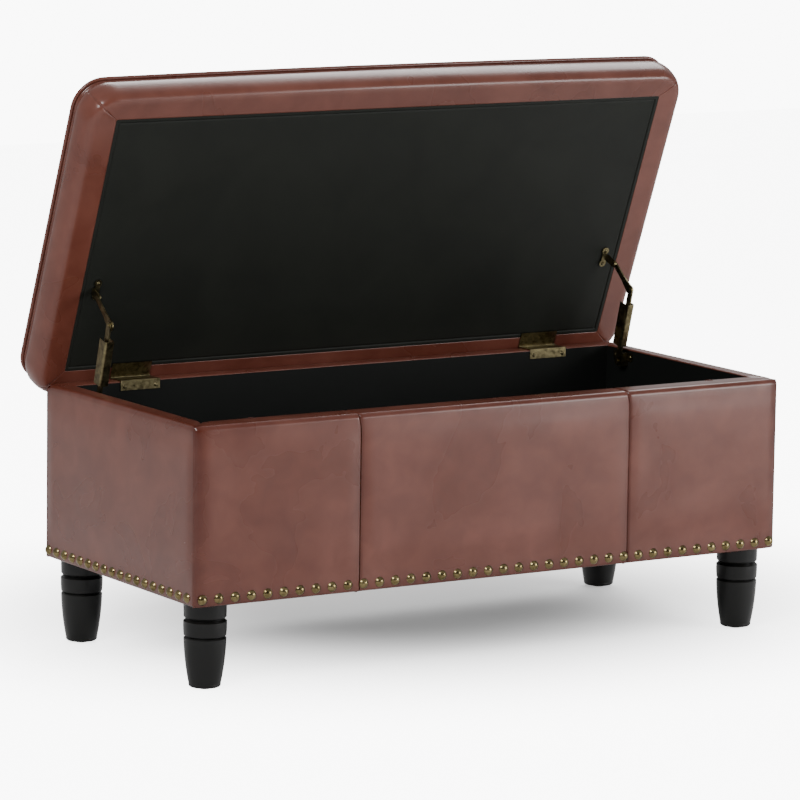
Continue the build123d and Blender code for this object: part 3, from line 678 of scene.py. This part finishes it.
def buildCushion():
    g, c = lidShape, cushionLook
    loops = [[(x, u, t, inset) for x, u, _, _, t in lidLoop(inset, t)] for inset, t in c["edge"]]
    lastT = c["edge"][-1][1]
    outer = loops[-1]
    reachX = max(x for x, _, _, _ in outer)
    reachU = max(u for _, u, _, _ in outer) - g["middle"]
    for s in c["shrink"]:
        row = []
        for x, u, _, _ in outer:
            across, along = x * s, (u - g["middle"]) * s
            rise = (1 - (across / reachX) ** 2) * (1 - (along / reachU) ** 2)
            row.append((across, g["middle"] + along, lastT + c["crown"] * rise, c["openInset"]))
        loops.append(row)
    rows = [[openPoint(x, u, t + cushionLift(x, u, inset)) for x, u, t, inset in loop] for loop in loops]
    obj = gridObject("lid_cushion", rows, openPoint(0, g["middle"], 0.06), ring=True, capEnds=True)
    finishPiece(obj, "leather", "lid")
    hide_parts("lid_top_cover", "lid_foam")


weltLook = {"around": 14, "unevenness": 0.0002, "scale": 90}


def buildPiping():
    g, w = lidShape, weltLook
    rows = []
    for i in range(w["around"]):
        a = 2 * math.pi * i / w["around"]
        inset = g["pipingInset"] - g["pipingRadius"] * math.cos(a)
        row = []
        for x, u, _, _, t in lidLoop(inset, g["seam"] + g["pipingRadius"] * math.sin(a)):
            bump = w["unevenness"] * noise.noise(Vector((x * w["scale"], u * w["scale"], 0.5)))
            row.append(openPoint(x, u, t + bump))
        rows.append(row)
    rows.append(list(rows[0]))
    obj = gridObject("lid_welt", rows, openPoint(0, g["middle"], g["seam"]), ring=True)
    weld = obj.modifiers.new("weld", "WELD")
    weld.merge_threshold = 0.00001
    finishPiece(obj, "leather", "lid")
    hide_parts("lid_piping")


liningLook = {
    "hem": 0.0085, "raise": 0.0007, "groove": 0.0008, "thickness": 0.0009, "clip": 0.006,
    "slack": 0.0005, "step": 0.012, "hemEase": 0.0012,
    "fine": (0.0008, 0.002, 0.004, 0.006, 0.0072, 0.008, 0.0085, 0.009, 0.0098, 0.012, 0.016),
}


def buildLidLining():
    g, h = lidShape, liningLook
    xs = spaced(-g["liningHalf"], g["liningHalf"], h["step"], h["fine"])
    us = spaced(g["liningNear"], g["liningFar"], h["step"], h["fine"])
    rows = []
    for u in us:
        row = []
        for x in xs:
            ex, eu = g["liningHalf"] - abs(x), min(u - g["liningNear"], g["liningFar"] - u)
            e = min(ex, eu)
            t = g["under"] + h["thickness"]
            t -= h["raise"] * smooth(e / h["hemEase"]) * smooth((h["hem"] - e) / h["hemEase"])
            t += h["groove"] * math.exp(-(((e - h["hem"]) / 0.0008) ** 2))
            inner = smooth((e - h["hem"]) / 0.03)
            t += h["slack"] * inner * (noise.noise(Vector((x * 6, u * 9, 2.2))) + 0.4)
            short = max(0.0, h["clip"] - ex - eu) / 2
            px = x - math.copysign(short, x)
            pu = u + short if u < g["middle"] else u - short
            row.append(openPoint(px, pu, t))
        rows.append(row)
    obj = gridObject("lid_lining_cloth", rows, openPoint(0, g["middle"], 0.3), thickness=h["thickness"])
    finishPiece(obj, "lid_fabric", "lid")
    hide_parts("lid_lining")


buildBand()
buildCushion()
buildPiping()
buildLidLining()
print("lid ready")


for name, obj in nodes.items():
    obj.data.materials.clear()
    obj.data.materials.append(looks[slotOf[name]])
print("CAD pieces finished")


studio = {
    # the floor glows for camera rays only; the glow drops to nearGlow in a pool around the bench, painted shade
    # that darkens the floor near it
    "floorSize": 14.0, "floorGlow": 8.2, "nearGlow": 0.15,
    "poolAt": (-0.12, -0.2, 0), "poolAcross": 0.95, "poolDeep": 1.15, "poolFrom": 0.15, "poolTo": 1.15,
    "worldLight": 0.55, "worldSeen": 9.0,
    "dimToward": (-0.53, -0.84, 0.12), "dimLight": 0.12, "dimFrom": 0.5, "dimTo": 0.95,
    "aim": (0, 0, 0.45),
    "lamps": [  # name, place, size, power
        ("key", (-3.1, -2.1, 3.0), (1.5, 1.5), 140),
        ("back", (1.6, 1.9, 2.9), (2.6, 1.2), 70),
        ("right", (2.3, -2.6, 0.85), (1.6, 1.1), 62),
    ],
}
cameraLook = {
    "place": (-4.0115, -6.39564, 1.5442), "yaw": 32.051, "pitch": 8.828, "roll": 0.822, "lens": 216.89,
}


def rampNode(tree, interpolation, value, fromMin, fromMax, toMin, toMax):
    node = tree.nodes.new("ShaderNodeMapRange")
    node.interpolation_type = interpolation
    for key, limit in (("From Min", fromMin), ("From Max", fromMax), ("To Min", toMin), ("To Max", toMax)):
        node.inputs[key].default_value = limit
    tree.links.new(value, node.inputs["Value"])
    return node.outputs[0]


def buildFloor():
    s = studio
    bm = bmesh.new()
    bmesh.ops.create_grid(bm, x_segments=4, y_segments=4, size=s["floorSize"] / 2)
    mesh = bpy.data.meshes.new("studio_floor")
    bm.to_mesh(mesh)
    bm.free()
    floor = newObject("studio_floor", mesh)
    white = {"Roughness": 0.9, "Base Color": (0.9, 0.9, 0.9, 1), "Emission Color": (1, 1, 1, 1)}
    mat, tree, shader, vector = newMaterial("studio_floor", white)
    # painted shade: the glow ramps from nearGlow around the bench up to floorGlow far out, so the floor reads
    # darker near the bench
    paintedShadePool = tree.nodes.new("ShaderNodeMapping")
    paintedShadePool.inputs["Location"].default_value = s["poolAt"]
    paintedShadePool.inputs["Scale"].default_value = (s["poolAcross"], s["poolDeep"], 1)
    tree.links.new(vector, paintedShadePool.inputs["Vector"])
    away = tree.nodes.new("ShaderNodeVectorMath")
    away.operation = "LENGTH"
    tree.links.new(paintedShadePool.outputs[0], away.inputs[0])
    far = rampNode(tree, "SMOOTHERSTEP", away.outputs["Value"],
                   s["poolFrom"], s["poolTo"], s["nearGlow"], s["floorGlow"])
    seen = tree.nodes.new("ShaderNodeLightPath").outputs["Is Camera Ray"]
    tree.links.new(mathNode(tree, "MULTIPLY", seen, far), shader.inputs["Emission Strength"])
    floor.data.materials.append(mat)


def buildWorld():
    s = studio
    world = bpy.data.worlds.new("studio")
    world.use_nodes = True
    sky = world.node_tree
    seen = sky.nodes.new("ShaderNodeLightPath").outputs["Is Camera Ray"]
    toward = sky.nodes.new("ShaderNodeVectorMath")
    toward.operation = "DOT_PRODUCT"
    sky.links.new(sky.nodes.new("ShaderNodeTexCoord").outputs["Generated"], toward.inputs[0])
    toward.inputs[1].default_value = s["dimToward"]
    light = rampNode(sky, "SMOOTHSTEP", toward.outputs["Value"],
                     s["dimFrom"], s["dimTo"], s["worldLight"], s["dimLight"])
    strength = mathNode(sky, "ADD", light, mathNode(sky, "MULTIPLY", seen, s["worldSeen"]))
    sky.nodes["Background"].inputs[0].default_value = (1, 1, 1, 1)
    sky.links.new(strength, sky.nodes["Background"].inputs[1])
    bpy.context.scene.world = world


def buildLamps():
    for name, place, size, power in studio["lamps"]:
        lamp = bpy.data.lights.new(name, "AREA")
        lamp.shape = "RECTANGLE"
        lamp.size, lamp.size_y = size
        lamp.energy = power
        obj = newObject("lamp_" + name, lamp)
        obj.location = place
        toAim = Vector(studio["aim"]) - Vector(place)
        obj.rotation_euler = toAim.to_track_quat("-Z", "Y").to_euler()


def buildCamera():
    c = cameraLook
    yaw, pitch, roll = (math.radians(c[k]) for k in ("yaw", "pitch", "roll"))
    forward = Vector((math.sin(yaw) * math.cos(pitch), math.cos(yaw) * math.cos(pitch), -math.sin(pitch)))
    right = Vector((math.cos(yaw), -math.sin(yaw), 0))
    up = right.cross(forward)
    tiltedRight = right * math.cos(roll) + up * math.sin(roll)
    tiltedUp = up * math.cos(roll) - right * math.sin(roll)
    camera = bpy.data.cameras.new("camera")
    camera.lens = c["lens"]
    camera.sensor_width = 36
    camera.clip_end = 60
    obj = newObject("camera", camera)
    turn = Matrix((tiltedRight, tiltedUp, -forward)).transposed().to_4x4()
    obj.matrix_world = Matrix.Translation(Vector(c["place"])) @ turn
    bpy.context.scene.camera = obj


buildFloor()
buildWorld()
buildLamps()
buildCamera()
print("studio ready")
